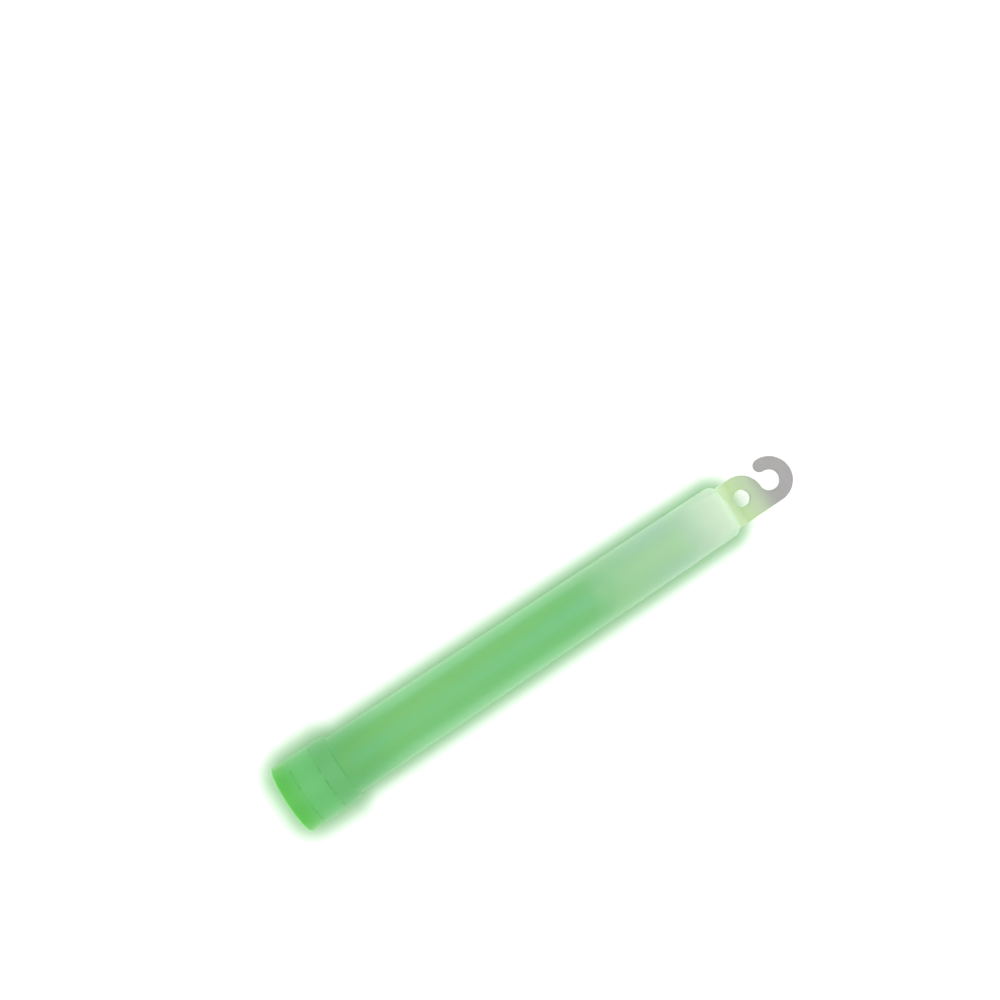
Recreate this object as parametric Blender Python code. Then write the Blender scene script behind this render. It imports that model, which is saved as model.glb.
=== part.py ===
"""Snap-to-light chemical light stick with a moulded hanging hook.

The stick lies along +X: the closing plug is at x = 0 and the hook points to +X and opens towards +Y.
The axis of the tube is the X axis, and the origin is the centre of the plugged end face.
Pieces: tube_body (tube, thick mouth, shoulder, eye and hook in one moulding), end_plug (pressed and
welded in the mouth), glass_ampoule (thin sealed glass, loose in the tube), activator_liquid (inside
the ampoule) and dye_liquid (around it). The ampoule slides along X between the plug and the shoulder.
"""
import bpy
import bmesh
from math import cos, pi, radians, sin
from mathutils import Matrix, Vector

# ---- Driving dimensions, in millimetres ------------------------------------------------------------
MM = 0.001

# Tube and its thick mouth
TUBE_LENGTH = 132.0            # plugged end face to the outside of the shoulder
TUBE_SHOULDER_RADIUS = 7.0     # tube radius at the hook end, where it is narrowest
TUBE_DRAFT = 1.17              # growth of the radius from the shoulder to the collar
COLLAR_STEP = 0.73             # rise of the collar over the tube
COLLAR_FLARE = 0.5             # growth of the collar's radius from the step to its full size
COLLAR_LENGTH = 16.0
COLLAR_TAPER = 5.0             # length of the collar over which it grows
COLLAR_EDGE_BEVEL = 0.4
STEP_RUN = 0.35                # length of the slope from the collar down to the tube
TUBE_WALL = 1.4
SHOULDER_WALL = 1.6            # thickness of the closed end under the hook
SHOULDER_CORNER = 3.0          # outside round of the shoulder
BORE_CORNER = 1.6              # inside round at the blind end of the bore

# Socket for the plug
SOCKET_WALL = 2.2              # wall left round the socket at the end face
SOCKET_DEPTH = 11.0

# Tab, eye and hook, one flat web moulded on the shoulder
TAB_THICKNESS = 2.8
ROOT_SKIN = 0.3                # wall left between the bore and the root of the web
EYE_SETBACK = 3.75             # shoulder face to the centre of the eye
EYE_RADIUS = 2.15
EYE_EDGE_SETBACK = 1.3         # side of the tube to the edge of the tab beside the eye
HOOK_EDGE_SETBACK = 1.0        # side of the tube to the edge that runs out into the hook
THROAT_RADIUS = 2.65           # inside of the hook

# Plug
PLUG_CLEARANCE = 0.3           # gap kept to the mouth of the tube
PLUG_DISC = 4.5
PLUG_LEAD_IN = 0.5
PLUG_EDGE_BEVEL = 0.25

# Ampoule
AMPOULE_REST_GAP = 4.1         # end of the plug's skirt to the round bottom, at rest
AMPOULE_LENGTH = 84.6          # round bottom to the sealed tip
AMPOULE_BORE_GAP = 1.65        # room round the ampoule where the bore is narrowest
AMPOULE_SKIRT_GAP = 1.25       # room round it inside the plug's skirt
GLASS_WALL = 0.5
AMPOULE_NECK = 4.5             # length over which the end is drawn in
TIP_LENGTH = 1.6
TIP_RADIUS = 0.9
TIP_BORE = 0.3                 # fine bore left through the sealed tip

# Liquids
LIQUID_CLEARANCE = 0.3         # gap kept between a liquid and the wall that holds it
CHANNEL_CLEARANCE = 0.35       # gap between the dye and the ampoule that slides through it
BUBBLE_LENGTH = 12.4           # air bubble between the dye and the blind end of the bore
ACTIVATOR_AIR = 0.8            # air left in the ampoule below its drawn neck

# Facets of the turned pieces, with a flat facet at the bottom
SIDES = 32
ARC_STEPS = 5                  # segments in a quarter round of a turned profile
OUTLINE_STEP = radians(15)     # angle of one segment of the hook's outline
EYE_SIDES = 24

# ---- Sizes and places that follow ------------------------------------------------------------------
TUBE_STEP_RADIUS = TUBE_SHOULDER_RADIUS + TUBE_DRAFT
COLLAR_STEP_RADIUS = TUBE_STEP_RADIUS + COLLAR_STEP
COLLAR_END_RADIUS = COLLAR_STEP_RADIUS + COLLAR_FLARE
BORE_END = TUBE_LENGTH - SHOULDER_WALL
EYE_X = TUBE_LENGTH + EYE_SETBACK
EYE_BOSS_RADIUS = TUBE_SHOULDER_RADIUS - EYE_EDGE_SETBACK
HOOK_OUTER_RADIUS = TUBE_SHOULDER_RADIUS - HOOK_EDGE_SETBACK
HOOK_TIP_RADIUS = (HOOK_OUTER_RADIUS - THROAT_RADIUS) / 2
THROAT_X = EYE_X + EYE_BOSS_RADIUS + THROAT_RADIUS
SOCKET_RADIUS = COLLAR_END_RADIUS - SOCKET_WALL
PLUG_RADIUS = SOCKET_RADIUS - PLUG_CLEARANCE
PLUG_LENGTH = SOCKET_DEPTH - PLUG_CLEARANCE
AMPOULE_START = SOCKET_DEPTH + AMPOULE_REST_GAP
AMPOULE_END = AMPOULE_START + AMPOULE_LENGTH
AMPOULE_RADIUS = TUBE_SHOULDER_RADIUS - TUBE_WALL - AMPOULE_BORE_GAP
SKIRT_INNER_RADIUS = AMPOULE_RADIUS + AMPOULE_SKIRT_GAP
CHANNEL_RADIUS = AMPOULE_RADIUS + CHANNEL_CLEARANCE
DYE_END = BORE_END - BUBBLE_LENGTH


# ---- Helpers ---------------------------------------------------------------------------------------
def clear_scene():
    for obj in list(bpy.data.objects):
        bpy.data.objects.remove(obj, do_unlink=True)


def make_material(name, colour, roughness, alpha=1.0, emission=0.0):
    """A Principled material with one plain colour."""
    material = bpy.data.materials.new(name)
    material.use_nodes = True
    shader = material.node_tree.nodes["Principled BSDF"]
    shader.inputs["Base Color"].default_value = (*colour, 1.0)
    shader.inputs["Roughness"].default_value = roughness
    shader.inputs["Metallic"].default_value = 0.0
    shader.inputs["Alpha"].default_value = alpha
    shader.inputs["Emission Color"].default_value = (*colour, 1.0)
    shader.inputs["Emission Strength"].default_value = emission
    material.diffuse_color = (*colour, alpha)
    return material


def arc(centre, radius, start, end, steps):
    """Points of an arc, both ends included, with angles in radians."""
    angles = [start + (end - start) * i / steps for i in range(steps + 1)]
    return [(centre[0] + radius * cos(a), centre[1] + radius * sin(a)) for a in angles]


def outer_tube_radius(x):
    """Outside radius of the tapered tube at x."""
    tube_start = COLLAR_LENGTH + STEP_RUN
    share = (x - tube_start) / (TUBE_LENGTH - tube_start)
    return TUBE_STEP_RADIUS - TUBE_DRAFT * share


def bore_radius(x):
    """The bore follows the outside at one wall thickness."""
    return outer_tube_radius(x) - TUBE_WALL


def finish_object(name, mesh_builder, material, smooth=True):
    """Write a bmesh to a new object, with its faces pointing out and its round sides smooth."""
    bmesh.ops.recalc_face_normals(mesh_builder, faces=mesh_builder.faces)
    mesh = bpy.data.meshes.new(name)
    mesh_builder.to_mesh(mesh)
    mesh_builder.free()
    obj = bpy.data.objects.new(name, mesh)
    bpy.context.scene.collection.objects.link(obj)
    if material:
        mesh.materials.append(material)
    if smooth:
        mesh.shade_smooth()
        mesh.set_sharp_from_angle(angle=radians(35))
    return obj


def turned(name, profile, material, closed=False):
    """Turn a profile of (x, radius) points, in millimetres, about the X axis."""
    builder = bmesh.new()
    half_facet = Matrix.Rotation(pi / SIDES, 4, "X")
    verts = [builder.verts.new(half_facet @ Vector((x, 0, r)) * MM) for x, r in profile]
    pairs = list(zip(verts, verts[1:]))
    if closed:
        pairs.append((verts[-1], verts[0]))
    edges = [builder.edges.new(pair) for pair in pairs]
    bmesh.ops.spin(builder, geom=verts + edges, cent=(0, 0, 0), axis=(1, 0, 0),
                   angle=2 * pi, steps=SIDES, use_merge=True)
    bmesh.ops.remove_doubles(builder, verts=builder.verts, dist=0.001 * MM)
    return finish_object(name, builder, material)


def hide_tool(obj):
    """Mark an object that only shapes another one."""
    obj.hide_render = True
    obj.display_type = "WIRE"


def add_boolean(obj, tool, operation):
    modifier = obj.modifiers.new(tool.name, "BOOLEAN")
    modifier.operation = operation
    modifier.object = tool
    hide_tool(tool)


# ---- Tube body -------------------------------------------------------------------------------------
def hook_outline():
    """Outline of the flat web: tab, round eye boss, throat, hook and its round tip."""
    def steps(turn):
        return max(1, round(abs(turn) / OUTLINE_STEP))

    root = BORE_END + ROOT_SKIN
    tip_centre = (THROAT_X, THROAT_RADIUS + HOOK_TIP_RADIUS)
    points = [(root, -HOOK_OUTER_RADIUS)]
    points += arc((THROAT_X, 0), HOOK_OUTER_RADIUS, -pi / 2, pi / 2, steps(pi))
    points += arc(tip_centre, HOOK_TIP_RADIUS, pi / 2, 3 * pi / 2, steps(pi))[1:]
    points += arc((THROAT_X, 0), THROAT_RADIUS, pi / 2, -pi, steps(3 * pi / 2))[1:]
    points += arc((EYE_X, 0), EYE_BOSS_RADIUS, 0, pi / 2, steps(pi / 2))[1:]
    points.append((root, EYE_BOSS_RADIUS))
    return points


def flat_web():
    """The hook's outline, extruded through the thickness of the tab."""
    builder = bmesh.new()
    bottom = -TAB_THICKNESS / 2
    verts = [builder.verts.new((x * MM, y * MM, bottom * MM)) for x, y in hook_outline()]
    face = builder.faces.new(verts)
    lifted = bmesh.ops.extrude_face_region(builder, geom=[face])["geom"]
    top = [v for v in lifted if isinstance(v, bmesh.types.BMVert)]
    bmesh.ops.translate(builder, verts=top, vec=(0, 0, TAB_THICKNESS * MM))
    return finish_object("hook_web", builder, None)


def eye_drill():
    builder = bmesh.new()
    place = Matrix.Translation((EYE_X * MM, 0, 0))
    bmesh.ops.create_cone(builder, cap_ends=True, segments=EYE_SIDES, radius1=EYE_RADIUS * MM,
                          radius2=EYE_RADIUS * MM, depth=2 * TAB_THICKNESS * MM, matrix=place)
    return finish_object("eye_drill", builder, None)


def tube_profile():
    """Outside from the shoulder to the mouth, then the socket and the blind bore."""
    bevel = COLLAR_EDGE_BEVEL
    corner_x = TUBE_LENGTH - SHOULDER_CORNER
    corner_r = outer_tube_radius(corner_x) - SHOULDER_CORNER
    outside = [(TUBE_LENGTH, 0)]
    outside += arc((corner_x, corner_r), SHOULDER_CORNER, 0, pi / 2, ARC_STEPS)
    outside += [(COLLAR_LENGTH + STEP_RUN, TUBE_STEP_RADIUS), (COLLAR_LENGTH, COLLAR_STEP_RADIUS),
                (COLLAR_LENGTH - COLLAR_TAPER, COLLAR_END_RADIUS), (bevel, COLLAR_END_RADIUS),
                (0, COLLAR_END_RADIUS - bevel)]
    bore_x = BORE_END - BORE_CORNER
    bore_r = bore_radius(bore_x) - BORE_CORNER
    inside = [(0, SOCKET_RADIUS), (SOCKET_DEPTH, SOCKET_RADIUS), (SOCKET_DEPTH, bore_radius(SOCKET_DEPTH))]
    inside += arc((bore_x, bore_r), BORE_CORNER, pi / 2, 0, ARC_STEPS)
    inside.append((BORE_END, 0))
    return outside + inside


def build_tube(material):
    tube = turned("tube_body", tube_profile(), material)
    add_boolean(tube, flat_web(), "UNION")
    add_boolean(tube, eye_drill(), "DIFFERENCE")
    return tube


# ---- Plug ------------------------------------------------------------------------------------------
def build_plug(material):
    """A solid disc with a hollow skirt that seats in the socket."""
    profile = [(0, 0), (0, PLUG_RADIUS - PLUG_EDGE_BEVEL), (PLUG_EDGE_BEVEL, PLUG_RADIUS),
               (PLUG_LENGTH - PLUG_LEAD_IN, PLUG_RADIUS), (PLUG_LENGTH, PLUG_RADIUS - PLUG_LEAD_IN),
               (PLUG_LENGTH, SKIRT_INNER_RADIUS), (PLUG_DISC, SKIRT_INNER_RADIUS), (PLUG_DISC, 0)]
    return turned("end_plug", profile, material)


# ---- Ampoule and its liquid ------------------------------------------------------------------------
def ampoule_shell(inset):
    """Round bottom and straight side of the ampoule, moved in by inset from the outside."""
    centre = AMPOULE_START + AMPOULE_RADIUS
    radius = AMPOULE_RADIUS - inset
    return arc((centre, 0), radius, pi, pi / 2, 2 * ARC_STEPS)


def build_ampoule(material):
    """Thin glass with a round bottom, drawn in to a narrow sealed tip."""
    neck_start = AMPOULE_END - TIP_LENGTH - AMPOULE_NECK
    tip_start = AMPOULE_END - TIP_LENGTH

    def neck(side, tip, shift):
        """S-shaped draw-in from the side radius to the tip radius."""
        points = []
        for i in range(2 * ARC_STEPS + 1):
            share = i / (2 * ARC_STEPS)
            blend = (1 + cos(pi * share)) / 2
            points.append((neck_start - shift + AMPOULE_NECK * share, tip + (side - tip) * blend))
        return points

    outside = ampoule_shell(0) + neck(AMPOULE_RADIUS, TIP_RADIUS, 0)
    outside += [(AMPOULE_END - TIP_RADIUS / 2, TIP_RADIUS), (AMPOULE_END, TIP_RADIUS / 2 + TIP_BORE / 2)]
    inside = ampoule_shell(GLASS_WALL) + neck(AMPOULE_RADIUS - GLASS_WALL, TIP_BORE, GLASS_WALL)
    inside += [(tip_start, TIP_BORE), (AMPOULE_END, TIP_BORE)]
    return turned("glass_ampoule", outside + inside[::-1], material)


def build_activator(material):
    """Liquid in the ampoule, with an air bubble above it towards the tip."""
    surface = AMPOULE_END - TIP_LENGTH - AMPOULE_NECK - ACTIVATOR_AIR
    inset = GLASS_WALL + LIQUID_CLEARANCE
    profile = ampoule_shell(inset) + [(surface, AMPOULE_RADIUS - inset), (surface, 0)]
    return turned("activator_liquid", profile, material)


# ---- Dye liquid ------------------------------------------------------------------------------------
def build_dye(material):
    """Sleeve of liquid in the skirt and along the bore, open in the middle where the ampoule slides."""
    disc_face = PLUG_DISC + LIQUID_CLEARANCE
    skirt_end = PLUG_LENGTH + LIQUID_CLEARANCE
    in_skirt = [(x, SKIRT_INNER_RADIUS - LIQUID_CLEARANCE) for x in (disc_face, skirt_end)]
    in_bore = [(x, bore_radius(x) - LIQUID_CLEARANCE) for x in (skirt_end, DYE_END)]
    profile = in_skirt + in_bore + [(DYE_END, CHANNEL_RADIUS), (disc_face, CHANNEL_RADIUS)]
    return turned("dye_liquid", profile, material, closed=True)


# ---- Assembly --------------------------------------------------------------------------------------
def main():
    clear_scene()
    milky_plastic = make_material("milky_plastic", (0.35, 0.70, 0.36), 0.35)
    plug_plastic = make_material("plug_plastic", (0.16, 0.50, 0.15), 0.40)
    clear_glass = make_material("clear_glass", (0.85, 0.95, 0.88), 0.05, alpha=0.35)
    clear_liquid = make_material("clear_liquid", (0.80, 0.95, 0.85), 0.05, alpha=0.5)
    glowing_dye = make_material("glowing_dye", (0.18, 0.80, 0.20), 0.10, emission=1.0)

    build_tube(milky_plastic)
    build_plug(plug_plastic)
    glass = build_ampoule(clear_glass)
    activator = build_activator(clear_liquid)
    build_dye(glowing_dye)

    # The ampoule and its liquid hang on one empty that lies on the axis they slide along.
    slide = bpy.data.objects.new("ampoule_slide", None)
    slide.location = (0, 0, 0)
    bpy.context.scene.collection.objects.link(slide)
    glass.parent = slide
    activator.parent = slide


main()
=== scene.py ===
"""Looks of the chemical light stick: smooth mouldings, glass, liquids and the light they give."""
from math import atan2, cos, hypot, pi, radians, sin

import bmesh
import bpy
from mathutils import Matrix, Vector


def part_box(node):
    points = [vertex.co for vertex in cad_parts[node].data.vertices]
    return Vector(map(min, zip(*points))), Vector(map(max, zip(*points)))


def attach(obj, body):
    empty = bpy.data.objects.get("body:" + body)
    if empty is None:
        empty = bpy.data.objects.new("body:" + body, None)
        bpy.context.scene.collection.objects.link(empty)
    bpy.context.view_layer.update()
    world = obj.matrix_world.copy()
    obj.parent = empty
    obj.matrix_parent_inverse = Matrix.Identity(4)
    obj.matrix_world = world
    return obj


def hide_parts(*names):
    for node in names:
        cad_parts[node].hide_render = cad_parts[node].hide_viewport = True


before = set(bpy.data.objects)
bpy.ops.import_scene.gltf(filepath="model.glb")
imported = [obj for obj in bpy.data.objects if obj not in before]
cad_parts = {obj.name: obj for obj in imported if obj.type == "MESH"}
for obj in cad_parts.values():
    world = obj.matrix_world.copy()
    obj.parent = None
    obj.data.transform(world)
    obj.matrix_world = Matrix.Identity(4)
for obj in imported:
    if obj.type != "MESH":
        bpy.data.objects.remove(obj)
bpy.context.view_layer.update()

# ---- Sizes, in millimetres ---------------------------------------------------------------------
MM = 0.001


def span_x(node):
    """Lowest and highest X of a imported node, in millimetres."""
    low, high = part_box(node)
    return low[0] / MM, high[0] / MM


def outer_radius(node):
    """Largest radius of a packed turned node, in millimetres."""
    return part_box(node)[1][1] / MM


# Tube
TUBE_LENGTH = 132.0
OVERALL_LENGTH = span_x("tube_body")[1]
SHOULDER_RADIUS = 7.0
TUBE_DRAFT = 1.17              # growth of the tube's radius from the shoulder to the collar
COLLAR_STEP = 0.71             # rise of the collar over the tube
TUBE_STEP_RADIUS = SHOULDER_RADIUS + TUBE_DRAFT
COLLAR_STEP_RADIUS = TUBE_STEP_RADIUS + COLLAR_STEP
COLLAR_END_RADIUS = outer_radius("tube_body")
COLLAR_LENGTH = 16.0
COLLAR_TAPER = 5.0             # length over which the collar grows to its full radius
STEP_RUN = 0.35
RIM_ROUND = 0.45               # rounding of the collar's end edge
STEP_ROUND = 0.3               # rounding of the collar's edge at the step
STEP_FILLET = COLLAR_STEP - STEP_ROUND
TUBE_RINGS = 30                # rings of faces between the shoulder and the collar
BORE_RINGS = 20                # rings of faces along the wetted bore
COLLAR_RINGS = 8               # rings of faces along the collar's taper
TUBE_WALL = 1.4
SHOULDER_WALL = 1.6
SHOULDER_CORNER = 3.0
BORE_END = TUBE_LENGTH - SHOULDER_WALL
BORE_CORNER = 1.6
SOCKET_RADIUS = 7.2
SOCKET_DEPTH = 11.0
WELD_BEAD = 0.28               # bead of melted plastic round the plug

# Web: tab, eye and hook
TAB_THICKNESS = 2.8
TAB_ROUND = 0.55               # rounding of the web's edges
PARTING_WIDTH = 0.08           # parting line left round the web by the two halves of the mould
PARTING_HEIGHT = 0.05
WEB_ROOT = BORE_END + 0.3
ROOT_FLARE_LENGTH = 2.8        # the web thickens over this length into the shoulder
ROOT_FLARE = 0.45
ROOT_CUTS = 10                 # cuts that let the web bend into its flare
EYE_SETBACK = 3.75             # shoulder face to the centre of the eye
EYE_EDGE_SETBACK = 1.3         # side of the tube to the edge of the tab beside the eye
EYE_X = TUBE_LENGTH + EYE_SETBACK
EYE_RADIUS = 2.15
EYE_BOSS_RADIUS = SHOULDER_RADIUS - EYE_EDGE_SETBACK
THROAT_RADIUS = 2.65
THROAT_X = EYE_X + EYE_BOSS_RADIUS + THROAT_RADIUS
HOOK_OUTER_RADIUS = OVERALL_LENGTH - THROAT_X - PARTING_HEIGHT
HOOK_TIP_RADIUS = (HOOK_OUTER_RADIUS - THROAT_RADIUS) / 2

# Plug
PLUG_LENGTH = span_x("end_plug")[1]
PLUG_DISC = 4.5
PLUG_RADIUS = outer_radius("end_plug")
SKIRT_INNER_RADIUS = 5.2
PLUG_LEAD_IN = 0.5             # chamfer at the end of the skirt
PLUG_ROUND = 0.2               # rounding of the plug's outer edge
DISH_DEPTH = 0.35              # shallow dish in the plug's outer face
DISH_EDGE = ((1, 4.0), (0.8, 4.35), (0.2, 4.65), (0, 4.9))  # share of its depth, and radius
GATE_HEIGHT = 0.16             # mark left by the mould's gate in the middle of the dish
GATE_RADIUS = 0.5
GATE_FOOT_RADIUS = 0.75

# Ampoule and liquids
AMPOULE_START, AMPOULE_END = span_x("glass_ampoule")
AMPOULE_RADIUS = outer_radius("glass_ampoule")
GLASS_WALL = 0.5
AMPOULE_NECK = 4.5
TIP_LENGTH = 1.6
TIP_RADIUS = 0.9
TIP_BORE = 0.3
NECK_RINGS = 24                # rings of faces along the drawn neck
ACTIVATOR_END = span_x("activator_liquid")[1]
DYE_END = span_x("dye_liquid")[1]
CHANNEL_RADIUS = 4.3
ACTIVATOR_GAP = 0.05           # space left between the activator and the glass
DYE_GAP = 0.08                 # space left between the dye and the tube or the plug
# The activator's hollow end: depth, and share of the radius
ACTIVATOR_BRIM = ((0, 1.0), (0.8, 0.75), (1.2, 0.4), (1.3, 0))
DYE_BRIM = (0.9, 0.8)          # depth and width of the dye's curved edge at the tube
DYE_BRIM_DEPTH = 1.2           # depth of its surface beside the ampoule

# Finishes of the tube's faces, and how finely its rounds are drawn
OUTER_SLOT, WETTED_SLOT, DRY_SLOT, WEB_SLOT = range(4)
TURN_STEPS = 144               # segments of a turned piece
FINE_ARC = radians(5)          # angle of one segment of an outline
SHARP_ANGLE = radians(32)      # edges sharper than this stay crisp
PLUG_ARC_STEPS = 5             # segments of the plug's rounded edge
SMALL_ARC_STEPS = 6            # segments of the rounds at the collar's step and the tab
ARC_STEPS = 8                  # segments of the rim, the bore's corner and the glass tip
BEAD_STEPS = 10                # segments of the weld bead
SHOULDER_STEPS = 14            # segments of the shoulder's round
BOTTOM_STEPS = 16              # segments of the ampoule's round bottom
WELD = 0.0005                  # points closer than this are one point
NEAR = 0.01                    # leeway when faces are sorted by their place
SAME_PLACE = 1e-7              # two places closer than this, in metres, are the same


# ---- Mesh helpers ------------------------------------------------------------------------------
def arc(centre, radius, start, end, steps=0):
    """Points of an arc, both ends included."""
    steps = steps or max(2, round(abs(end - start) / FINE_ARC))
    angles = [start + (end - start) * i / steps for i in range(steps + 1)]
    return [(centre[0] + radius * cos(a), centre[1] + radius * sin(a)) for a in angles]


def outer_tube_radius(x):
    tube_start = COLLAR_LENGTH + STEP_RUN
    share = (x - tube_start) / (TUBE_LENGTH - tube_start)
    return TUBE_STEP_RADIUS + (SHOULDER_RADIUS - TUBE_STEP_RADIUS) * share


def bore_radius(x):
    return outer_tube_radius(x) - TUBE_WALL


def new_object(name, builder, *materials):
    """Write a bmesh whose faces already point the right way to a new object."""
    mesh = bpy.data.meshes.new(name)
    builder.to_mesh(mesh)
    builder.free()
    obj = bpy.data.objects.new(name, mesh)
    bpy.context.scene.collection.objects.link(obj)
    for material in materials:
        mesh.materials.append(material)
    return obj


def closed_object(name, builder, *materials):
    """Write a bmesh to a new object with all of its faces pointing out."""
    bmesh.ops.recalc_face_normals(builder, faces=builder.faces)
    return new_object(name, builder, *materials)


def turned_mesh(profile, closed=False, steps=TURN_STEPS):
    """A bmesh of (x, radius) points, in millimetres, turned about the X axis."""
    builder = bmesh.new()
    verts = [builder.verts.new(Vector((x, 0, r)) * MM) for x, r in profile]
    pairs = list(zip(verts, verts[1:]))
    if closed:
        pairs.append((verts[-1], verts[0]))
    edges = [builder.edges.new(pair) for pair in pairs]
    bmesh.ops.spin(builder, geom=verts + edges, cent=(0, 0, 0), axis=(1, 0, 0),
                   angle=2 * pi, steps=steps, use_merge=True)
    bmesh.ops.remove_doubles(builder, verts=builder.verts, dist=WELD * MM)
    return builder


def frozen(obj, *tools):
    """Apply an object's modifiers to a mesh of its own and remove the tools that shaped it."""
    bpy.context.view_layer.update()
    evaluated = obj.evaluated_get(bpy.context.evaluated_depsgraph_get())
    mesh = bpy.data.meshes.new_from_object(evaluated)
    obj.modifiers.clear()
    obj.data = mesh
    for tool in tools:
        bpy.data.objects.remove(tool, do_unlink=True)
    return obj


def smooth(obj):
    obj.data.shade_smooth()
    obj.data.set_sharp_from_angle(angle=SHARP_ANGLE)
    return obj


def cut_with(obj, tool, operation):
    modifier = obj.modifiers.new(tool.name, "BOOLEAN")
    modifier.operation = operation
    modifier.solver = "EXACT"
    modifier.object = tool


# ---- Node helpers ------------------------------------------------------------------------------
REFRACTION = 1.5               # refractive index of the plastic, and near enough that of the glass
GRAIN_SCALE = 2600.0           # grains of the moulded surface in a metre
CLOUD_SCALE = 240.0            # patches of duller surface in a metre
DRAWN_ALONG = 0.25             # the grain is drawn out along the stick by the mould's flow
STREAK_EDGES = (0.35, 0.65)    # share of the noise where a streak begins and where it is full


def add_group_socket(group, name, direction, kind, value=None):
    socket = group.interface.new_socket(name=name, in_out=direction, socket_type=kind)
    if value is not None:
        socket.default_value = value


def fade_group():
    """Fade: 0 before Start and 1 after End along the stick, in metres, eased at both ends."""
    group = bpy.data.node_groups.new("fade_along_stick", "ShaderNodeTree")
    add_group_socket(group, "Start", "INPUT", "NodeSocketFloat", 0.0)
    add_group_socket(group, "End", "INPUT", "NodeSocketFloat", 0.1)
    add_group_socket(group, "Fade", "OUTPUT", "NodeSocketFloat")
    nodes, links = group.nodes, group.links
    given = nodes.new("NodeGroupInput")
    result = nodes.new("NodeGroupOutput")
    place = nodes.new("ShaderNodeTexCoord")
    split = nodes.new("ShaderNodeSeparateXYZ")
    ramp = nodes.new("ShaderNodeMapRange")
    ramp.interpolation_type = "SMOOTHSTEP"
    links.new(place.outputs["Object"], split.inputs["Vector"])
    links.new(split.outputs["X"], ramp.inputs["Value"])
    links.new(given.outputs["Start"], ramp.inputs["From Min"])
    links.new(given.outputs["End"], ramp.inputs["From Max"])
    links.new(ramp.outputs["Result"], result.inputs["Fade"])
    return group


def grain_group():
    """Grain of moulded polyethylene: a fine bump height and a roughness wandering round Level."""
    group = bpy.data.node_groups.new("moulded_grain", "ShaderNodeTree")
    add_group_socket(group, "Level", "INPUT", "NodeSocketFloat", 0.3)
    add_group_socket(group, "Spread", "INPUT", "NodeSocketFloat", 0.1)
    add_group_socket(group, "Height", "OUTPUT", "NodeSocketFloat")
    add_group_socket(group, "Roughness", "OUTPUT", "NodeSocketFloat")
    nodes, links = group.nodes, group.links
    given = nodes.new("NodeGroupInput")
    result = nodes.new("NodeGroupOutput")
    place = nodes.new("ShaderNodeTexCoord")
    drawn = nodes.new("ShaderNodeMapping")
    drawn.inputs["Scale"].default_value = (DRAWN_ALONG, 1.0, 1.0)
    fine = nodes.new("ShaderNodeTexNoise")
    fine.inputs["Scale"].default_value = GRAIN_SCALE
    fine.inputs["Detail"].default_value = 3.0
    cloud = nodes.new("ShaderNodeTexNoise")
    cloud.inputs["Scale"].default_value = CLOUD_SCALE
    cloud.inputs["Detail"].default_value = 4.0
    centred = nodes.new("ShaderNodeMath")
    centred.operation = "SUBTRACT"
    centred.inputs[1].default_value = 0.5
    wander = nodes.new("ShaderNodeMath")
    wander.operation = "MULTIPLY_ADD"
    links.new(place.outputs["Object"], drawn.inputs["Vector"])
    links.new(drawn.outputs["Vector"], fine.inputs["Vector"])
    links.new(drawn.outputs["Vector"], cloud.inputs["Vector"])
    links.new(cloud.outputs["Fac"], centred.inputs[0])
    links.new(centred.outputs["Value"], wander.inputs[0])
    links.new(given.outputs["Spread"], wander.inputs[1])
    links.new(given.outputs["Level"], wander.inputs[2])
    links.new(fine.outputs["Fac"], result.inputs["Height"])
    links.new(wander.outputs["Value"], result.inputs["Roughness"])
    return group


def swirl_group():
    """Long streaks of unevenly mixed liquid, from 0 to 1."""
    group = bpy.data.node_groups.new("liquid_swirl", "ShaderNodeTree")
    add_group_socket(group, "Along", "INPUT", "NodeSocketFloat", 14.0)
    add_group_socket(group, "Across", "INPUT", "NodeSocketFloat", 150.0)
    add_group_socket(group, "Swirl", "OUTPUT", "NodeSocketFloat")
    nodes, links = group.nodes, group.links
    given = nodes.new("NodeGroupInput")
    result = nodes.new("NodeGroupOutput")
    place = nodes.new("ShaderNodeTexCoord")
    scale = nodes.new("ShaderNodeCombineXYZ")
    drawn = nodes.new("ShaderNodeVectorMath")
    drawn.operation = "MULTIPLY"
    noise = nodes.new("ShaderNodeTexNoise")
    noise.inputs["Scale"].default_value = 1.0
    noise.inputs["Detail"].default_value = 2.0
    noise.inputs["Distortion"].default_value = 0.4
    spread = nodes.new("ShaderNodeMapRange")
    spread.interpolation_type = "SMOOTHSTEP"
    spread.inputs["From Min"].default_value = STREAK_EDGES[0]
    spread.inputs["From Max"].default_value = STREAK_EDGES[1]
    links.new(given.outputs["Along"], scale.inputs["X"])
    links.new(given.outputs["Across"], scale.inputs["Y"])
    links.new(given.outputs["Across"], scale.inputs["Z"])
    links.new(place.outputs["Object"], drawn.inputs[0])
    links.new(scale.outputs["Vector"], drawn.inputs[1])
    links.new(drawn.outputs["Vector"], noise.inputs["Vector"])
    links.new(noise.outputs["Fac"], spread.inputs["Value"])
    links.new(spread.outputs["Result"], result.inputs["Swirl"])
    return group


FADE = fade_group()
GRAIN = grain_group()
SWIRL = swirl_group()


def new_material(name):
    material = bpy.data.materials.new(name)
    material.use_nodes = True
    return material, material.node_tree, material.node_tree.nodes["Principled BSDF"]


def fade_node(tree, start, end):
    node = tree.nodes.new("ShaderNodeGroup")
    node.node_tree = FADE
    node.inputs["Start"].default_value = start * MM
    node.inputs["End"].default_value = end * MM
    return node.outputs["Fade"]


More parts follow.
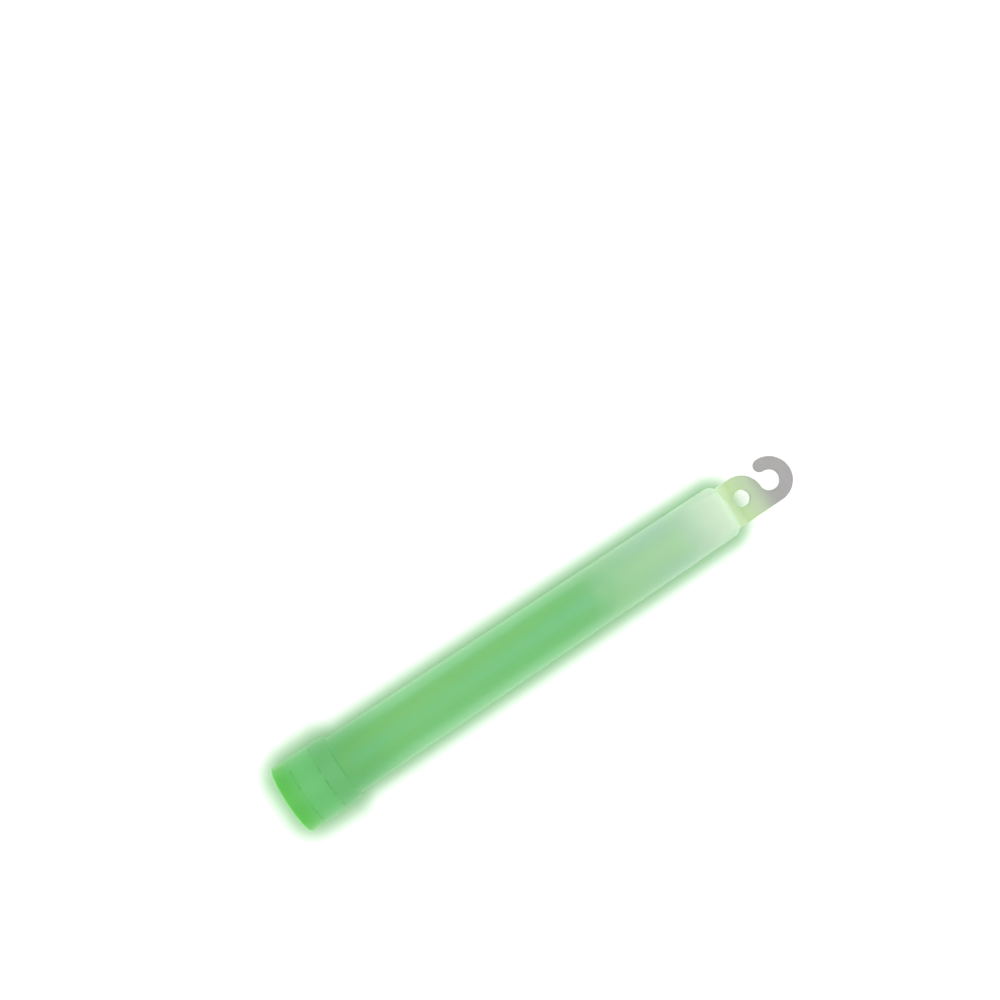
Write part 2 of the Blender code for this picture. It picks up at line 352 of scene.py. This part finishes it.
def swirl_node(tree, along, across):
    node = tree.nodes.new("ShaderNodeGroup")
    node.node_tree = SWIRL
    node.inputs["Along"].default_value = along
    node.inputs["Across"].default_value = across
    return node.outputs["Swirl"]


def mixed_colour(tree, factor, first, second):
    """Mix of two colours; each is a colour or the output of another node."""
    node = tree.nodes.new("ShaderNodeMix")
    node.data_type = "RGBA"
    tree.links.new(factor, node.inputs["Factor"])
    for value, socket in ((first, node.inputs[6]), (second, node.inputs[7])):
        if isinstance(value, tuple):
            socket.default_value = (*value, 1.0)
        else:
            tree.links.new(value, socket)
    return node.outputs[2]


def edge_on(tree, start, end):
    """0 where a surface faces the view, rising to 1 where it turns away from it."""
    weight = tree.nodes.new("ShaderNodeLayerWeight")
    ramp = tree.nodes.new("ShaderNodeMapRange")
    ramp.interpolation_type = "SMOOTHSTEP"
    ramp.inputs["From Min"].default_value = start
    ramp.inputs["From Max"].default_value = end
    tree.links.new(weight.outputs["Facing"], ramp.inputs["Value"])
    return ramp.outputs["Result"]


def band_node(tree, centre, half):
    """1 at one place along the stick, falling to 0 at half a band on either side."""
    band = tree.nodes.new("ShaderNodeMath")
    band.operation = "SUBTRACT"
    tree.links.new(fade_node(tree, centre - half, centre), band.inputs[0])
    tree.links.new(fade_node(tree, centre, centre + half), band.inputs[1])
    return band.outputs["Value"]


def colour_along(tree, stops):
    """Colour that changes along the stick: stops are (start, end, colour), the first one plain."""
    colour = stops[0]
    for start, end, next_colour in stops[1:]:
        colour = mixed_colour(tree, fade_node(tree, start, end), colour, next_colour)
    return colour


def set_glow(tree, shader, colour):
    tree.links.new(colour, shader.inputs["Emission Color"])
    shader.inputs["Emission Strength"].default_value = 1.0


def add_grain(tree, shader, level, spread, depth):
    """Fine moulded grain on a shader's Roughness and Normal."""
    node = tree.nodes.new("ShaderNodeGroup")
    node.node_tree = GRAIN
    node.inputs["Level"].default_value = level
    node.inputs["Spread"].default_value = spread
    bump = tree.nodes.new("ShaderNodeBump")
    bump.inputs["Strength"].default_value = 0.5
    bump.inputs["Distance"].default_value = depth * MM
    tree.links.new(node.outputs["Height"], bump.inputs["Height"])
    tree.links.new(node.outputs["Roughness"], shader.inputs["Roughness"])
    tree.links.new(bump.outputs["Normal"], shader.inputs["Normal"])


# ---- Materials ---------------------------------------------------------------------------------
def milky_wall():
    """Outside of the translucent tube, painted green where the dye lights it and whiter at the
    shoulder, with painted shade.
    """
    material, tree, shader = new_material("milky_plastic")
    shader.inputs["IOR"].default_value = REFRACTION
    shader.inputs["Transmission Weight"].default_value = 0.75
    body = colour_along(tree, [
        (0.20, 0.50, 0.13),
        (1.5, 7.0, (0.29, 0.55, 0.31)),
        (15.0, 40.0, (0.42, 0.66, 0.42)),
        (80, TUBE_LENGTH - 20, (0.60, 0.76, 0.62)),
        (TUBE_LENGTH - 20, TUBE_LENGTH - 2, (0.90, 0.98, 0.86)),
    ])
    # Painted shade: broken dark green rings where shade falls at the plug's disc face and the
    # socket's end.
    patches = swirl_node(tree, 500.0, 620.0)
    for place in (PLUG_DISC + 0.4, SOCKET_DEPTH + 0.4):
        mark = mixed_colour(tree, patches, body, (0.14, 0.41, 0.14))
        body = mixed_colour(tree, band_node(tree, place, 0.45), body, mark)
    # Painted shade near the shoulder: greener where the surface turns away from the view, whiter
    # where it faces it.
    shaded = mixed_colour(tree, edge_on(tree, 0.2, 0.65), body, (0.60, 0.80, 0.58))
    body = mixed_colour(tree, fade_node(tree, TUBE_LENGTH - 20, TUBE_LENGTH - 10), body, shaded)
    tree.links.new(body, shader.inputs["Base Color"])
    # Emission: a painted glow of the wall lit by the dye, with painted highlights along the
    # collar's rim and the shoulder's end.
    glow = colour_along(tree, [
        (0.16, 0.34, 0.13),
        (0.2, 0.7, (0.01, 0.06, 0.01)),
        (90, TUBE_LENGTH - 4, (0.05, 0.07, 0.05)),
        (TUBE_LENGTH - 3, TUBE_LENGTH - 0.2, (0.18, 0.22, 0.15)),
    ])
    set_glow(tree, shader, glow)
    shader.inputs["Sheen Weight"].default_value = 1.0
    shader.inputs["Sheen Roughness"].default_value = 0.03
    shader.inputs["Sheen Tint"].default_value = (0.85, 1.0, 0.85, 1.0)
    add_grain(tree, shader, 0.33, 0.08, 0.01)
    return material


def web_plastic():
    """Tab and hook: the same plastic with no emission, painted yellow-green at its root by the
    tube's glow, and grey in the hook.
    """
    material, tree, shader = new_material("web_plastic")
    shader.inputs["IOR"].default_value = REFRACTION
    shader.inputs["Transmission Weight"].default_value = 0.6
    # Painted glow: yellow-green next to the lit shoulder, fading to the plastic's grey in the hook.
    body = colour_along(tree, [
        (0.90, 1.0, 0.72),
        (TUBE_LENGTH + 0.5, TUBE_LENGTH + 2.5, (0.66, 0.84, 0.48)),
        (TUBE_LENGTH + 2.5, TUBE_LENGTH + 5.5, (0.60, 0.74, 0.50)),
        (TUBE_LENGTH + 5.5, TUBE_LENGTH + 11.5, (0.445, 0.435, 0.435)),
    ])
    tree.links.new(body, shader.inputs["Base Color"])
    add_grain(tree, shader, 0.34, 0.12, 0.012)
    return material


def dry_wall():
    """Inside of the moulding beside the air bubble, where it scatters light as a frosty white;
    painted green by the dye's glow next to the liquid.
    """
    material, tree, shader = new_material("dry_wall")
    # Painted glow: green next to the liquid, whiter towards the shoulder.
    body = colour_along(tree, [(0.62, 0.84, 0.66), (DYE_END, TUBE_LENGTH - 3, (0.92, 0.97, 0.90))])
    tree.links.new(body, shader.inputs["Base Color"])
    shader.inputs["Alpha"].default_value = 0.35
    add_grain(tree, shader, 0.5, 0.1, 0.02)
    return material


def wetted_wall():
    """Inside of the moulding, which vanishes where liquid or the welded plug touches it."""
    material = bpy.data.materials.new("wetted_wall")
    material.use_nodes = True
    tree = material.node_tree
    tree.nodes.clear()
    clear = tree.nodes.new("ShaderNodeBsdfTransparent")
    output = tree.nodes.new("ShaderNodeOutputMaterial")
    tree.links.new(clear.outputs["BSDF"], output.inputs["Surface"])
    return material


def plug_plastic():
    material, tree, shader = new_material("plug_plastic")
    shader.inputs["IOR"].default_value = REFRACTION
    shader.inputs["Base Color"].default_value = (0.10, 0.50, 0.10, 1.0)
    # Painted glow: the plug's emission stands in for the dye's light shining through it.
    glow = colour_along(tree, [
        (0.02, 0.27, 0.02),
        (PLUG_DISC - 2.2, PLUG_DISC + 1.2, (0.04, 0.27, 0.07)),
    ])
    set_glow(tree, shader, glow)
    add_grain(tree, shader, 0.35, 0.1, 0.01)
    return material


DYE_VEIL = 0.34                # how much the dye in front hides of the ampoule


def glowing_dye():
    """Dye liquid: a thin green veil in front and its glow behind, paler towards the air bubble."""
    material, tree, shader = new_material("glowing_dye")
    shader.inputs["Base Color"].default_value = (0.02, 0.10, 0.02, 1.0)
    shader.inputs["Specular IOR Level"].default_value = 0.0
    shader.inputs["Roughness"].default_value = 0.6
    side = tree.nodes.new("ShaderNodeNewGeometry")
    veil = tree.nodes.new("ShaderNodeMapRange")
    veil.inputs["To Min"].default_value = DYE_VEIL
    veil.inputs["To Max"].default_value = 1.0
    tree.links.new(side.outputs["Backfacing"], veil.inputs["Value"])
    tree.links.new(veil.outputs["Result"], shader.inputs["Alpha"])
    front = colour_along(tree, [(0.05, 0.60, 0.07), (75, 110, (0.14, 0.45, 0.15))])
    back = colour_along(tree, [
        (0.08, 0.34, 0.12),
        (16, 34, (0.24, 0.52, 0.30)),
        (75, 110, (0.30, 0.46, 0.33)),
    ])
    streaks = swirl_node(tree, 22.0, 240.0)
    streaked = mixed_colour(tree, streaks, (0.30, 0.50, 0.22), (0.26, 0.44, 0.40))
    back = mixed_colour(tree, fade_node(tree, 85, 105), back, streaked)
    glow = mixed_colour(tree, side.outputs["Backfacing"], front, back)
    set_glow(tree, shader, glow)
    return material


def ampoule_glass():
    material, tree, shader = new_material("ampoule_glass")
    shader.inputs["Base Color"].default_value = (0.30, 0.85, 0.40, 1.0)
    shader.inputs["Roughness"].default_value = 0.05
    shader.inputs["IOR"].default_value = REFRACTION
    rim = tree.nodes.new("ShaderNodeLayerWeight")
    rim.inputs["Blend"].default_value = 0.35
    edge = tree.nodes.new("ShaderNodeMapRange")
    edge.inputs["To Min"].default_value = 0.05
    edge.inputs["To Max"].default_value = 0.30
    tree.links.new(rim.outputs["Facing"], edge.inputs["Value"])
    tree.links.new(edge.outputs["Result"], shader.inputs["Alpha"])
    return material


def activator_liquid():
    material, tree, shader = new_material("activator_liquid")
    shader.inputs["Base Color"].default_value = (0.02, 0.10, 0.02, 1.0)
    shader.inputs["Specular IOR Level"].default_value = 0.0
    shader.inputs["Roughness"].default_value = 0.5
    middle_streaks = swirl_node(tree, 14.0, 190.0)
    middle = mixed_colour(tree, middle_streaks, (0.06, 0.34, 0.06), (0.02, 0.35, 0.20))
    side_streaks = swirl_node(tree, 18.0, 150.0)
    sides = mixed_colour(tree, side_streaks, (0.15, 0.33, 0.0), (0.06, 0.33, 0.06))
    # Painted highlight down the middle: bluer where the liquid faces the view, yellower where it
    # turns away from it.
    glow = mixed_colour(tree, edge_on(tree, 0.01, 0.10), middle, sides)
    ending = fade_node(tree, ACTIVATOR_END - 4.0, ACTIVATOR_END + 0.5)
    glow = mixed_colour(tree, ending, glow, (0.17, 0.40, 0.17))
    set_glow(tree, shader, glow)
    return material


# ---- Painted glow and shade on the floor -------------------------------------------------------
GLOW_START = -3.0              # ends of the lit stretch of floor under the stick
GLOW_END = 133.5
GLOW_SIDE = -0.55              # middle line of the lit stretch
GLOW_CORNER = 5.0              # rounding of the stretch
GLOW_COLLAR = (10.0, 6.6)      # beside the collar: half its width, and how far the glow carries
GLOW_TUBE = (8.4, 5.2)
GLOW_SHOULDER = (8.0, 5.2)
GLOW_FADE_START = -0.25        # the glow begins to fade this share of its reach inside its edge
FLOOR_LIGHT = 0.32             # light that the floor gives off by itself


def math_node(tree, operation, first, second=None):
    node = tree.nodes.new("ShaderNodeMath")
    node.operation = operation
    for value, socket in zip((first, second), node.inputs):
        if value is None:
            continue
        if isinstance(value, (int, float)):
            socket.default_value = value
        else:
            tree.links.new(value, socket)
    return node.outputs["Value"]


def beyond(tree, coordinate, middle, half):
    """How far a coordinate lies outside the stretch of half width round middle."""
    away = math_node(tree, "ABSOLUTE", math_node(tree, "SUBTRACT", coordinate, middle))
    return math_node(tree, "MAXIMUM", math_node(tree, "SUBTRACT", away, half), 0.0)


def ease_between(tree, start, end, first, second):
    """Value in metres that goes smoothly from first, which may be a node's output, to second."""
    ramp = tree.nodes.new("ShaderNodeMapRange")
    tree.links.new(fade_node(tree, start, end), ramp.inputs["Value"])
    if isinstance(first, float):
        ramp.inputs["To Min"].default_value = first * MM
    else:
        tree.links.new(first, ramp.inputs["To Min"])
    ramp.inputs["To Max"].default_value = second * MM
    return ramp.outputs["Result"]


def glow_size(tree, index):
    """Half width (0) or reach (1) of the glow at each place along the stick."""
    step = (COLLAR_LENGTH - 4.0, COLLAR_LENGTH + 3.0)
    tube = ease_between(tree, *step, GLOW_COLLAR[index], GLOW_TUBE[index])
    return ease_between(tree, COLLAR_LENGTH + 4.0, TUBE_LENGTH, tube, GLOW_SHOULDER[index])


def floor_material():
    """Pale floor with the green glow that the stick throws on it and the stick's shade, both
    painted into its colour.
    """
    material, tree, shader = new_material("pale_floor")
    shader.inputs["Roughness"].default_value = 0.9
    shader.inputs["Specular IOR Level"].default_value = 0.0
    place = tree.nodes.new("ShaderNodeTexCoord")
    split = tree.nodes.new("ShaderNodeSeparateXYZ")
    tree.links.new(place.outputs["Object"], split.inputs["Vector"])
    x, y = split.outputs["X"], split.outputs["Y"]
    middle = (GLOW_START + GLOW_END) / 2 * MM
    half = ((GLOW_END - GLOW_START) / 2 - GLOW_CORNER) * MM
    narrow = math_node(tree, "SUBTRACT", glow_size(tree, 0), GLOW_CORNER * MM)
    along = beyond(tree, x, middle, half)
    across = beyond(tree, y, GLOW_SIDE * MM, narrow)
    squares = [math_node(tree, "MULTIPLY", side, side) for side in (along, across)]
    reach = math_node(tree, "SQRT", math_node(tree, "ADD", *squares))
    away = math_node(tree, "SUBTRACT", reach, GLOW_CORNER * MM)
    share = math_node(tree, "DIVIDE", away, glow_size(tree, 1))
    ease = tree.nodes.new("ShaderNodeMapRange")
    ease.interpolation_type = "SMOOTHSTEP"
    ease.inputs["From Min"].default_value = GLOW_FADE_START
    tree.links.new(share, ease.inputs["Value"])
    # Painted glow and shade: dark green next to the stick, fading to the pale floor colour, also
    # given off as the floor's light.
    painted_glow_and_shade = mixed_colour(tree, ease.outputs["Result"], (0.31, 0.51, 0.31), (0.96, 0.96, 0.96))
    tree.links.new(painted_glow_and_shade, shader.inputs["Base Color"])
    tree.links.new(painted_glow_and_shade, shader.inputs["Emission Color"])
    shader.inputs["Emission Strength"].default_value = FLOOR_LIGHT
    return material


# ---- Tube, web and hook ------------------------------------------------------------------------
def hook_outline():
    """Tab, round eye boss, throat, hook and its round tip."""
    tip_centre = (THROAT_X, THROAT_RADIUS + HOOK_TIP_RADIUS)
    points = [(WEB_ROOT, -HOOK_OUTER_RADIUS)]
    points += arc((THROAT_X, 0), HOOK_OUTER_RADIUS, -pi / 2, pi / 2)
    points += arc(tip_centre, HOOK_TIP_RADIUS, pi / 2, 3 * pi / 2)[1:]
    points += arc((THROAT_X, 0), THROAT_RADIUS, pi / 2, -pi)[1:]
    points += arc((EYE_X, 0), EYE_BOSS_RADIUS, 0, pi / 2)[1:]
    points.append((WEB_ROOT, EYE_BOSS_RADIUS))
    return points


def flat_web(materials):
    """The web with rounded edges and a parting line, flared where it grows out of the shoulder."""
    builder = bmesh.new()
    half = TAB_THICKNESS / 2
    verts = [builder.verts.new((x * MM, y * MM, -half * MM)) for x, y in hook_outline()]
    faces = [builder.faces.new(verts)]
    for _ in range(2):
        lifted = bmesh.ops.extrude_face_region(builder, geom=faces)["geom"]
        faces = [part for part in lifted if isinstance(part, bmesh.types.BMFace)]
        raised = [part for part in lifted if isinstance(part, bmesh.types.BMVert)]
        bmesh.ops.translate(builder, verts=raised, vec=(0, 0, half * MM))
    inner = [face for face in builder.faces
             if abs(face.calc_center_median().z) < SAME_PLACE and len(face.verts) > 4]
    bmesh.ops.delete(builder, geom=inner, context="FACES_ONLY")
    bmesh.ops.recalc_face_normals(builder, faces=builder.faces)
    root = WEB_ROOT * MM

    def level_edges(height):
        return [edge for edge in builder.edges
                if all(abs(vert.co.z - height) < SAME_PLACE for vert in edge.verts)
                and not all(abs(vert.co.x - root) < SAME_PLACE for vert in edge.verts)]

    rim = level_edges(half * MM) + level_edges(-half * MM)
    bmesh.ops.bevel(builder, geom=rim, offset=TAB_ROUND * MM, segments=4,
                    affect="EDGES", profile=0.5, material=-1)
    seam = level_edges(0)
    made = bmesh.ops.bevel(builder, geom=seam, offset=PARTING_WIDTH * MM, segments=2,
                           affect="EDGES", profile=0.5, material=-1)
    builder.normal_update()
    ridge = [vert for vert in made["verts"]
             if abs(vert.co.z) < SAME_PLACE and vert.co.x > root + SAME_PLACE]
    moves = [(vert, Vector((vert.normal.x, vert.normal.y, 0)).normalized()) for vert in ridge]
    for vert, out in moves:
        vert.co += out * PARTING_HEIGHT * MM
    for i in range(1, ROOT_CUTS + 1):
        place = root + ROOT_FLARE_LENGTH * i / ROOT_CUTS * MM
        bmesh.ops.bisect_plane(builder, geom=builder.verts[:] + builder.edges[:] + builder.faces[:],
                               dist=SAME_PLACE, plane_co=(place, 0, 0), plane_no=(1, 0, 0))
    for vert in builder.verts:
        share = (vert.co.x - root) / (ROOT_FLARE_LENGTH * MM)
        if share < 1:
            vert.co.z *= 1 + ROOT_FLARE * (1 - share) ** 2
    for face in builder.faces:
        face.material_index = WEB_SLOT
    return closed_object("hook_web", builder, *materials)


def eye_drill(materials):
    """Drill with flared ends, so that the eye's edges come out rounded."""
    half = TAB_THICKNESS / 2
    flare = arc((half - TAB_ROUND, EYE_RADIUS + TAB_ROUND), TAB_ROUND, -pi / 2, 0, SMALL_ARC_STEPS)
    end = half + TAB_ROUND
    profile = [(0, EYE_RADIUS)] + flare + [(end, EYE_RADIUS + TAB_ROUND), (end, 0)]
    mirrored = [(-x, r) for x, r in profile[::-1]][:-1]
    builder = turned_mesh(mirrored + profile, steps=TURN_STEPS // 2)
    upright = Matrix.Rotation(pi / 2, 3, "Y")
    bmesh.ops.rotate(builder, verts=builder.verts, cent=(0, 0, 0), matrix=upright)
    bmesh.ops.translate(builder, verts=builder.verts, vec=(EYE_X * MM, 0, 0))
    for face in builder.faces:
        face.material_index = WEB_SLOT
    return closed_object("eye_drill", builder, *materials)


def tube_mesh():
    """Tube with its rounded collar, socket and blind bore."""
    corner_x = TUBE_LENGTH - SHOULDER_CORNER
    corner_r = outer_tube_radius(corner_x) - SHOULDER_CORNER
    outside = [(TUBE_LENGTH, 0), (TUBE_LENGTH, corner_r / 2)]
    outside += arc((corner_x, corner_r), SHOULDER_CORNER, 0, pi / 2, SHOULDER_STEPS)
    foot = COLLAR_LENGTH + STEP_FILLET
    for i in range(1, TUBE_RINGS):
        x = corner_x + (foot - corner_x) * i / TUBE_RINGS
        outside.append((x, outer_tube_radius(x)))
    fillet = (foot, TUBE_STEP_RADIUS + STEP_FILLET)
    outside += arc(fillet, STEP_FILLET, -pi / 2, -pi, SMALL_ARC_STEPS)
    edge = (COLLAR_LENGTH - STEP_ROUND, COLLAR_STEP_RADIUS - STEP_ROUND)
    outside += arc(edge, STEP_ROUND, 0, pi / 2, SMALL_ARC_STEPS)[1:]
    for i in range(1, COLLAR_RINGS + 1):
        share = i / COLLAR_RINGS
        eased = share * (2 - share)
        outside.append((COLLAR_LENGTH - STEP_ROUND - (COLLAR_TAPER - STEP_ROUND) * share,
                        COLLAR_STEP_RADIUS + (COLLAR_END_RADIUS - COLLAR_STEP_RADIUS) * eased))
    outside += arc((RIM_ROUND, COLLAR_END_RADIUS - RIM_ROUND), RIM_ROUND, pi / 2, pi, ARC_STEPS)
    bore_x = BORE_END - BORE_CORNER
    bore_r = bore_radius(bore_x) - BORE_CORNER
    inside = arc((WELD_BEAD, SOCKET_RADIUS), WELD_BEAD, -pi, 0, BEAD_STEPS)
    inside += [(SOCKET_DEPTH, SOCKET_RADIUS), (SOCKET_DEPTH, bore_radius(SOCKET_DEPTH))]
    for i in range(1, BORE_RINGS + 1):
        x = SOCKET_DEPTH + (DYE_END - SOCKET_DEPTH) * i / BORE_RINGS
        inside.append((x, bore_radius(x)))
    inside += arc((bore_x, bore_r), BORE_CORNER, pi / 2, 0, ARC_STEPS)
    inside.append((BORE_END, 0))
    return turned_mesh(outside + inside)


def wall_slot(face):
    """Finish of a face of the tube: outside, wetted bore, or dry bore beside the air bubble."""
    centre = face.calc_center_median() / MM
    radius = hypot(centre.y, centre.z)
    outside = centre.x < NEAR or centre.x > BORE_END + NEAR
    in_wall = bore_radius(max(centre.x, SOCKET_DEPTH)) + TUBE_WALL / 3
    if outside or radius > in_wall or radius > SOCKET_RADIUS + NEAR:
        return OUTER_SLOT
    return DRY_SLOT if centre.x > DYE_END else WETTED_SLOT


def make_tube(*materials):
    builder = tube_mesh()
    for face in builder.faces:
        face.material_index = wall_slot(face)
    tube = closed_object("tube_moulding", builder, *materials)
    web = flat_web(materials)
    drill = eye_drill(materials)
    cut_with(web, drill, "DIFFERENCE")
    frozen(web, drill)
    cut_with(tube, web, "UNION")
    frozen(tube, web)
    return smooth(tube)


# ---- Plug --------------------------------------------------------------------------------------
def make_plug(material):
    gate = DISH_DEPTH - GATE_HEIGHT
    profile = [(gate, 0), (gate, GATE_RADIUS), (DISH_DEPTH, GATE_FOOT_RADIUS)]
    profile += [(DISH_DEPTH * share, radius) for share, radius in DISH_EDGE]
    profile += arc((PLUG_ROUND, PLUG_RADIUS - PLUG_ROUND), PLUG_ROUND, pi, pi / 2, PLUG_ARC_STEPS)
    profile += [(PLUG_LENGTH - PLUG_LEAD_IN, PLUG_RADIUS),
                (PLUG_LENGTH, PLUG_RADIUS - PLUG_LEAD_IN), (PLUG_LENGTH, SKIRT_INNER_RADIUS),
                (PLUG_DISC, SKIRT_INNER_RADIUS), (PLUG_DISC, 0)]
    return smooth(closed_object("plug_moulding", turned_mesh(profile), material))


# ---- Ampoule and liquids -----------------------------------------------------------------------
def round_bottom(inset):
    radius = AMPOULE_RADIUS - inset
    return arc((AMPOULE_START + AMPOULE_RADIUS, 0), radius, pi, pi / 2, BOTTOM_STEPS)


def make_ampoule(material):
    neck_start = AMPOULE_END - TIP_LENGTH - AMPOULE_NECK

    def neck(side, tip, shift):
        points = []
        for i in range(NECK_RINGS + 1):
            share = i / NECK_RINGS
            blend = (1 + cos(pi * share)) / 2
            points.append((neck_start - shift + AMPOULE_NECK * share, tip + (side - tip) * blend))
        return points

    outside = round_bottom(0) + neck(AMPOULE_RADIUS, TIP_RADIUS, 0)
    outside += arc((AMPOULE_END - TIP_RADIUS, 0), TIP_RADIUS, pi / 2, 0, ARC_STEPS)
    inside = round_bottom(GLASS_WALL) + neck(AMPOULE_RADIUS - GLASS_WALL, TIP_BORE, GLASS_WALL)
    inside += [(AMPOULE_END - TIP_LENGTH, 0)]
    builder = turned_mesh(outside)
    cavity = turned_mesh(inside)
    bmesh.ops.recalc_face_normals(cavity, faces=cavity.faces)
    bmesh.ops.reverse_faces(cavity, faces=cavity.faces)
    hollow = bpy.data.meshes.new("hollow")
    cavity.to_mesh(hollow)
    cavity.free()
    bmesh.ops.recalc_face_normals(builder, faces=builder.faces)
    builder.from_mesh(hollow)
    bpy.data.meshes.remove(hollow)
    return smooth(new_object("ampoule_shell", builder, material))


def make_activator(material):
    inset = GLASS_WALL + ACTIVATOR_GAP
    side = AMPOULE_RADIUS - inset
    profile = round_bottom(inset)
    profile += [(ACTIVATOR_END - depth, side * share) for depth, share in ACTIVATOR_BRIM]
    return smooth(closed_object("activator_fill", turned_mesh(profile), material))


def make_dye(material, channel):
    start = SOCKET_DEPTH + DYE_GAP
    skirt = SKIRT_INNER_RADIUS - DYE_GAP
    profile = [(PLUG_DISC + DYE_GAP, skirt), (start, skirt)]
    for i in range(BORE_RINGS + 1):
        x = start + (DYE_END - start) * i / BORE_RINGS
        profile.append((x, bore_radius(x) - DYE_GAP))
    depth, width = DYE_BRIM
    profile.append((DYE_END - depth, bore_radius(DYE_END) - width))
    profile += [(DYE_END - DYE_BRIM_DEPTH, CHANNEL_RADIUS), (PLUG_DISC + DYE_GAP, CHANNEL_RADIUS)]
    builder = turned_mesh(profile, closed=True)
    for face in builder.faces:
        centre = face.calc_center_median() / MM
        if hypot(centre.y, centre.z) < CHANNEL_RADIUS + NEAR:
            face.material_index = 1
    return smooth(closed_object("dye_fill", builder, material, channel))


# ---- Stage -------------------------------------------------------------------------------------
FLOOR_SIZE = 6.0               # side of the floor, in metres
FLOOR_CLEARANCE = 0.12         # the floor's gap under the stick


def make_floor():
    """Pale floor that the stick lies on, touched by the collar's rim and by the shoulder."""
    mouth = Vector((RIM_ROUND, -COLLAR_END_RADIUS))
    corner_x = TUBE_LENGTH - SHOULDER_CORNER
    shoulder = Vector((corner_x, -outer_tube_radius(corner_x)))
    slope = atan2(shoulder.y - mouth.y, shoulder.x - mouth.x)
    builder = bmesh.new()
    bmesh.ops.create_grid(builder, x_segments=1, y_segments=1, size=FLOOR_SIZE / 2)
    tilt = Matrix.Rotation(-slope, 3, "Y")
    bmesh.ops.rotate(builder, verts=builder.verts, cent=(0, 0, 0), matrix=tilt)
    drop = mouth.y - mouth.x * sin(slope) - FLOOR_CLEARANCE
    bmesh.ops.translate(builder, verts=builder.verts, vec=(0, 0, drop * MM))
    floor = closed_object("floor", builder, floor_material())
    if floor.data.polygons[0].normal.z < 0:
        floor.data.flip_normals()


VIEW_TURN = radians(33.86)     # how far the stick is turned up from the view's horizontal
VIEW_CENTRE = (85.4, 33.3)     # point under the middle of the view
VIEW_HEIGHT = 550.0            # camera above the stick's axis
VIEW_WIDTH = 250.3             # width of the view at the stick's axis
SENSOR = 36.0
SOFTBOX_PLACE = (40.0, 750.0)  # to the hook's open side of the axis, and above it
SOFTBOX_SIZE = 0.8             # side of the lamp, in metres
SOFTBOX_ENERGY = 0.9


def make_camera():
    data = bpy.data.cameras.new("camera")
    data.sensor_width = SENSOR
    data.lens = SENSOR * VIEW_HEIGHT / VIEW_WIDTH
    data.clip_start = 0.01
    camera = bpy.data.objects.new("camera", data)
    right = Vector((cos(VIEW_TURN), -sin(VIEW_TURN), 0))
    up = Vector((sin(VIEW_TURN), cos(VIEW_TURN), 0))
    turn = Matrix((right, up, right.cross(up))).transposed().to_4x4()
    place = Vector((*VIEW_CENTRE, VIEW_HEIGHT)) * MM
    camera.matrix_world = Matrix.Translation(place) @ turn
    bpy.context.scene.collection.objects.link(camera)
    bpy.context.scene.camera = camera


def make_light():
    world = bpy.data.worlds.new("studio")
    bpy.context.scene.world = world
    world.use_nodes = True
    shade = world.node_tree.nodes["Background"]
    shade.inputs["Color"].default_value = (1.0, 1.0, 1.0, 1.0)
    shade.inputs["Strength"].default_value = 1.0
    bpy.context.scene.view_settings.view_transform = "Standard"
    softbox = bpy.data.lights.new("softbox", "AREA")
    softbox.size = SOFTBOX_SIZE
    softbox.energy = SOFTBOX_ENERGY
    lamp = bpy.data.objects.new("softbox", softbox)
    lamp.location = Vector((VIEW_CENTRE[0], *SOFTBOX_PLACE)) * MM
    bpy.context.scene.collection.objects.link(lamp)


# ---- Assembly ----------------------------------------------------------------------------------
def main():
    make_camera()
    make_light()
    make_floor()
    wetted = wetted_wall()
    pieces = (
        (make_tube(milky_wall(), wetted, dry_wall(), web_plastic()),
         "stick", "tube_body", "milky_plastic"),
        (make_plug(plug_plastic()), "stick", "end_plug", "plug_plastic"),
        (make_dye(glowing_dye(), wetted), "stick", "dye_liquid", "glowing_dye"),
        (make_ampoule(ampoule_glass()), "ampoule", "glass_ampoule", "ampoule_glass"),
        (make_activator(activator_liquid()), "ampoule", "activator_liquid", "activator_liquid"),
    )
    for piece, body, node, slot in pieces:
        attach(piece, body)
        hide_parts(node)


main()
